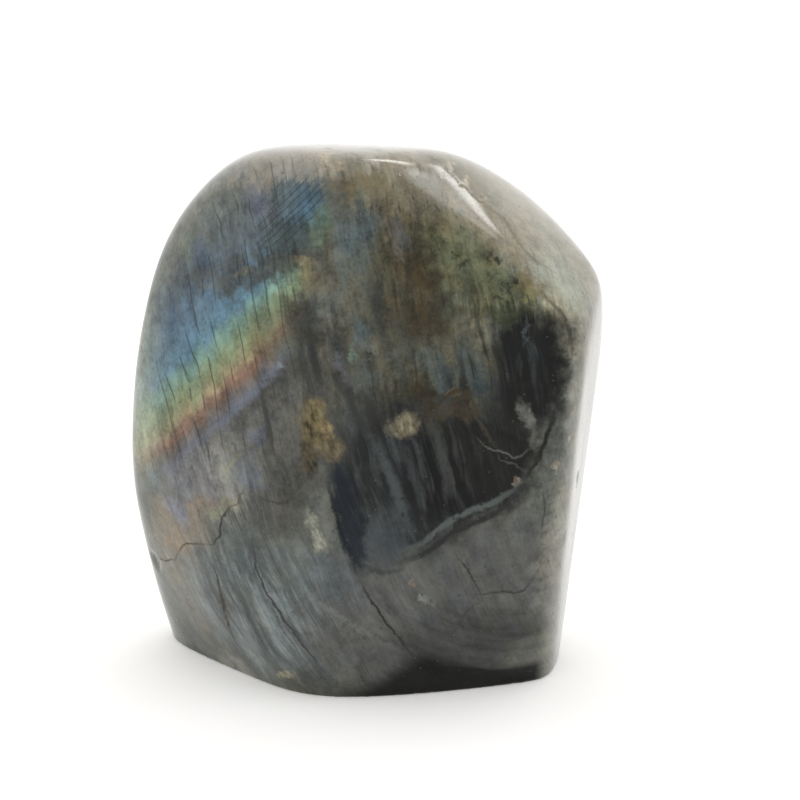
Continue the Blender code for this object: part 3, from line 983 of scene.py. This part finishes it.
def draw_flecks(graph, fabric, colour):
    """Short dark flecks along the lamellae, below the crown."""
    flecks = graph.fade(fabric.fibres(*UPRIGHT_FLECKS), 0.58, 0.68)
    flecked = fabric.warped.patch(*FLECK_PATCH) * flecks
    return graph.mix(flecked * FLECK_STRENGTH, colour, paint(*FLECK_COLOUR))


def set_grains(graph, fabric, colour, crumb):
    """Grains of other minerals, ragged and crumbly, and how far a place belongs to one."""
    ragged = Turned(graph, graph.vector("MULTIPLY_ADD", crumb, GRAIN_WANDER, fabric.place))
    crumbs = fabric.fibres(*CRUMBS) * CRUMB_CONTRAST - CRUMB_SHIFT
    inset = 0
    for face, grains in ((FRONT, INCLUSIONS), (CREST, CROWN_INCLUSIONS), (BACK, BACK_INCLUSIONS)):
        for share, shade in ragged.patches(grains, face):
            colour = graph.mix(share, colour, shade)
            inset = graph.sum("MAXIMUM", share, inset)
    return graph.toned(colour, 1 + (crumbs - 1) * inset), inset


def draw_lines(graph, fabric, colour, crumb, on_front, on_back):
    """Cracks and veins of the front and the back, and how far a place belongs to a crack."""
    x, _, z = graph.split(graph.vector("MULTIPLY_ADD", crumb, LINE_WANDER, fabric.place))
    broken = graph.fade(fabric.cloud * 0.5 + fabric.speckle * 0.5, 0.30, 0.50)
    cracked = 0
    for side, traces in ((broken * on_front, TRACES), (broken * on_back, BACK_TRACES)):
        for _, points, half_width, shade, strength in traces:
            share = trace(graph, x, z, points, half_width, strength) * side
            colour = graph.mix(share, colour, paint(*shade))
            if half_width < VEIN_THINNEST:
                cracked = graph.sum("MAXIMUM", share, cracked)
    return colour, cracked


def scatter_specks(graph, fabric, colour):
    """Small pale and dark specks."""
    for spacing, kept, shade, strength in SPECKS:
        where = {"Vector": fabric.place, "Scale": 1 / spacing}
        cell = graph.node("ShaderNodeTexVoronoi", {}, where, "Distance")
        lot = graph.lot(Wire(graph, cell.socket.node.outputs["Color"]))
        chosen = graph.fade(lot, 1 - kept, 1 - kept * SPECK_FULL, strength)
        colour = graph.mix(graph.fade(cell, SPECK_EDGE, SPECK_CORE) * chosen, colour, paint(*shade))
    return colour


def make_markings(graph, place):
    """Colour of the stone at a place in millimetres, painted sheen and flash included, and how much duller
    than the polish it is.
    """
    fabric = Fabric(graph, place)
    on_front, on_back = graph.fade(fabric.y, *ON_FRONT), graph.fade(fabric.y, *ON_BACK)
    colour = lay_streaks(graph, fabric, lay_body(graph, fabric))
    arc, bands = foot_arcs(graph, fabric)
    colour = lay_wedge(graph, fabric, colour, arc, bands)
    colour = lay_flashes(graph, fabric, colour, on_front, on_back)
    # Painted sheen on the facets that catch the light
    colour, facet_sheen = paint_facet_sheen(graph, fabric, colour)
    colour = fabric.warped.lay(colour, STAINS, FRONT)
    colour = fabric.warped.lay(colour, CROWN_STAINS, CROWN)
    colour = shade_body(graph, fabric, colour, arc, bands, facet_sheen)
    colour = draw_cleavage(graph, fabric, colour)
    colour = draw_hatch(graph, fabric, colour)
    colour = draw_flecks(graph, fabric, colour)
    crumb = graph.vector("SUBTRACT", graph.grain(place, *GRAIN_BORDERS, output=1), MIDDLE)
    colour, inset = set_grains(graph, fabric, colour, crumb)
    colour, cracked = draw_lines(graph, fabric, colour, crumb, on_front, on_back)
    colour = scatter_specks(graph, fabric, colour)
    sawn = graph.fade(fabric.z, SAWN_HEIGHT, -SAWN_HEIGHT)
    return colour, inset * GRAIN_DULLNESS + cracked * CRACK_DULLNESS + sawn * SAWN_DULLNESS


def make_relief(graph, place):
    """Height of the polished surface in millimetres: it waves a little and has pin-holes."""
    waves = graph.grain(place, *POLISH_WAVES) * WAVE_HEIGHT
    pin_holes = graph.fade(graph.grain(place, *PIN_HOLES), 0.70, 0.78)
    return waves - pin_holes * PIN_HOLE_DEPTH


def make_finish():
    """The polished surface, with its markings."""
    material = bpy.data.materials.new("polished_labradorite")
    material.use_nodes = True
    graph = Graph(material.node_tree)
    shader = material.node_tree.nodes["Principled BSDF"]
    place = graph.scale(graph.node("ShaderNodeTexCoord", {}, {}, "Object"), 1 / MILLIMETRE)
    place = graph.vector("SUBTRACT", place, tuple(MARKS_ZERO))
    colour, dulled = make_markings(graph, place)
    graph.feed(shader.inputs["Base Color"], colour)
    graph.feed(shader.inputs["Roughness"], POLISH + dulled)
    relief = graph.node("ShaderNodeBump", {}, {"Distance": MILLIMETRE, "Height": make_relief(graph, place)})
    graph.feed(shader.inputs["Normal"], relief)
    shader.inputs["IOR"].default_value = GLOSS_INDEX
    return material


# -------------------------------------------------------------------------- floor, light and camera


CAMERA_ELEVATION, CAMERA_DISTANCE = 15, 0.62
CAMERA_AIM = Vector((0.00661, -0.00027, 0.05472))
FILM_WIDTH, LENS = 36, 139.5
NEAREST_SEEN = 0.01

HORIZON_FADE = (0.5, 0.15)  # sines of the elevations between which the room's front wall grows brighter
ROOM_TURN = (-0.45, 0.4)  # between which the room changes from its front wall to the one behind the stone
ROOM_BEHIND, ROOM_FRONT_LOW, ROOM_FRONT_HIGH = 1.45, 1.2, 0.95
ROOM_WHITE = (1, 1, 1, 1)

PAPER_HALF_WIDTH = 4
PAPER_COLOUR, PAPER_ROUGHNESS = (0.91, 0.9, 0.885, 1), 0.9
PAPER_GLOW, PAPER_GLOW_COLOUR = 0.17, (1, 0.99, 0.975, 1)  # of a light table under the paper

# Lamps that are seen in the polish: heading, rise and distance from the stone, size, power
GLOSS_LAMPS = {
    "crest_lamp": (132, 46.5, 1.2, (0.40, 0.16), 3.2),
    "lens_lamp": (118, 55, 1.2, (0.44, 0.34), 3.0),
    "crown_lamp": (154, 54, 1.2, (0.44, 0.12), 2.6),
}
LAMP_EDGE, LAMP_CORE = 0.5, 0.15  # distances from a lamp's middle, in its widths, between which it fades in


def make_floor():
    """A sheet of pale paper that glows a little."""
    data = bpy.data.meshes.new("floor")
    mesh = bmesh.new()
    bmesh.ops.create_grid(mesh, x_segments=1, y_segments=1, size=PAPER_HALF_WIDTH)
    mesh.to_mesh(data)
    mesh.free()
    floor = bpy.data.objects.new("floor", data)
    bpy.context.scene.collection.objects.link(floor)
    material = bpy.data.materials.new("pale_paper")
    material.use_nodes = True
    shader = material.node_tree.nodes["Principled BSDF"]
    shader.inputs["Base Color"].default_value = PAPER_COLOUR
    shader.inputs["Roughness"].default_value = PAPER_ROUGHNESS
    shader.inputs["Specular IOR Level"].default_value = 0.0
    shader.inputs["Emission Color"].default_value = PAPER_GLOW_COLOUR
    shader.inputs["Emission Strength"].default_value = PAPER_GLOW
    data.materials.append(material)


def make_world():
    """A white room that is bright behind the stone, and dim high up on the camera's side."""
    world = bpy.data.worlds.new("room")
    bpy.context.scene.world = world
    world.use_nodes = True
    graph = Graph(world.node_tree)
    _, y, z = graph.split(graph.node("ShaderNodeTexCoord", {}, {}, "Generated"))
    low = graph.fade(z, *HORIZON_FADE)
    front = ROOM_FRONT_HIGH + low * (ROOM_FRONT_LOW - ROOM_FRONT_HIGH)
    behind = graph.fade(y, *ROOM_TURN)
    light = world.node_tree.nodes["Background"]
    light.inputs["Color"].default_value = ROOM_WHITE
    graph.feed(light.inputs["Strength"], front + behind * (ROOM_BEHIND - front))


def make_gloss_lamp(name, heading, rise, away, size, power):
    """A soft-edged lamp turned to the stone and seen in its polish alone, so the room casts the shadow."""
    data = bpy.data.lights.new(name, "AREA")
    data.shape = "RECTANGLE"
    data.size, data.size_y = size
    data.energy = power
    data.use_nodes = True
    graph = Graph(data.node_tree)
    across, up, _ = graph.split(graph.node("ShaderNodeNewGeometry", {}, {}, "Parametric"))
    across, up = abs(across - 0.5), abs(up - 0.5)
    soft = graph.fade(across, LAMP_EDGE, LAMP_CORE) * graph.fade(up, LAMP_EDGE, LAMP_CORE)
    graph.feed(data.node_tree.nodes["Emission"].inputs["Strength"], soft)
    lamp = bpy.data.objects.new(name, data)
    bpy.context.scene.collection.objects.link(lamp)
    lamp.visible_diffuse = False
    lamp.location = facing(heading, rise) * away
    aim = Vector((0, 0, HEART_HEIGHT)) - lamp.location
    lamp.rotation_euler = aim.to_track_quat("-Z", "Y").to_euler()


def make_camera():
    """The camera, in front of the stone and a little above it."""
    data = bpy.data.cameras.new("camera")
    data.sensor_width = FILM_WIDTH
    data.lens = LENS
    data.clip_start = NEAREST_SEEN
    camera = bpy.data.objects.new("camera", data)
    bpy.context.scene.collection.objects.link(camera)
    ahead = -facing(0, CAMERA_ELEVATION)
    camera.location = CAMERA_AIM - ahead * CAMERA_DISTANCE
    camera.rotation_euler = ahead.to_track_quat("-Z", "Y").to_euler()
    bpy.context.scene.camera = camera


# ---------------------------------------------------------------------------------- the whole scene

make_camera()
make_floor()
make_world()
for name, (heading, rise, away, size, power) in GLOSS_LAMPS.items():
    make_gloss_lamp(name, heading, rise, away, size, power)
bpy.context.scene.view_settings.view_transform = "Standard"

stone = make_stone()
stone.data.materials.append(make_finish())
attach(stone, "root")
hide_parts("labradorite_stone")
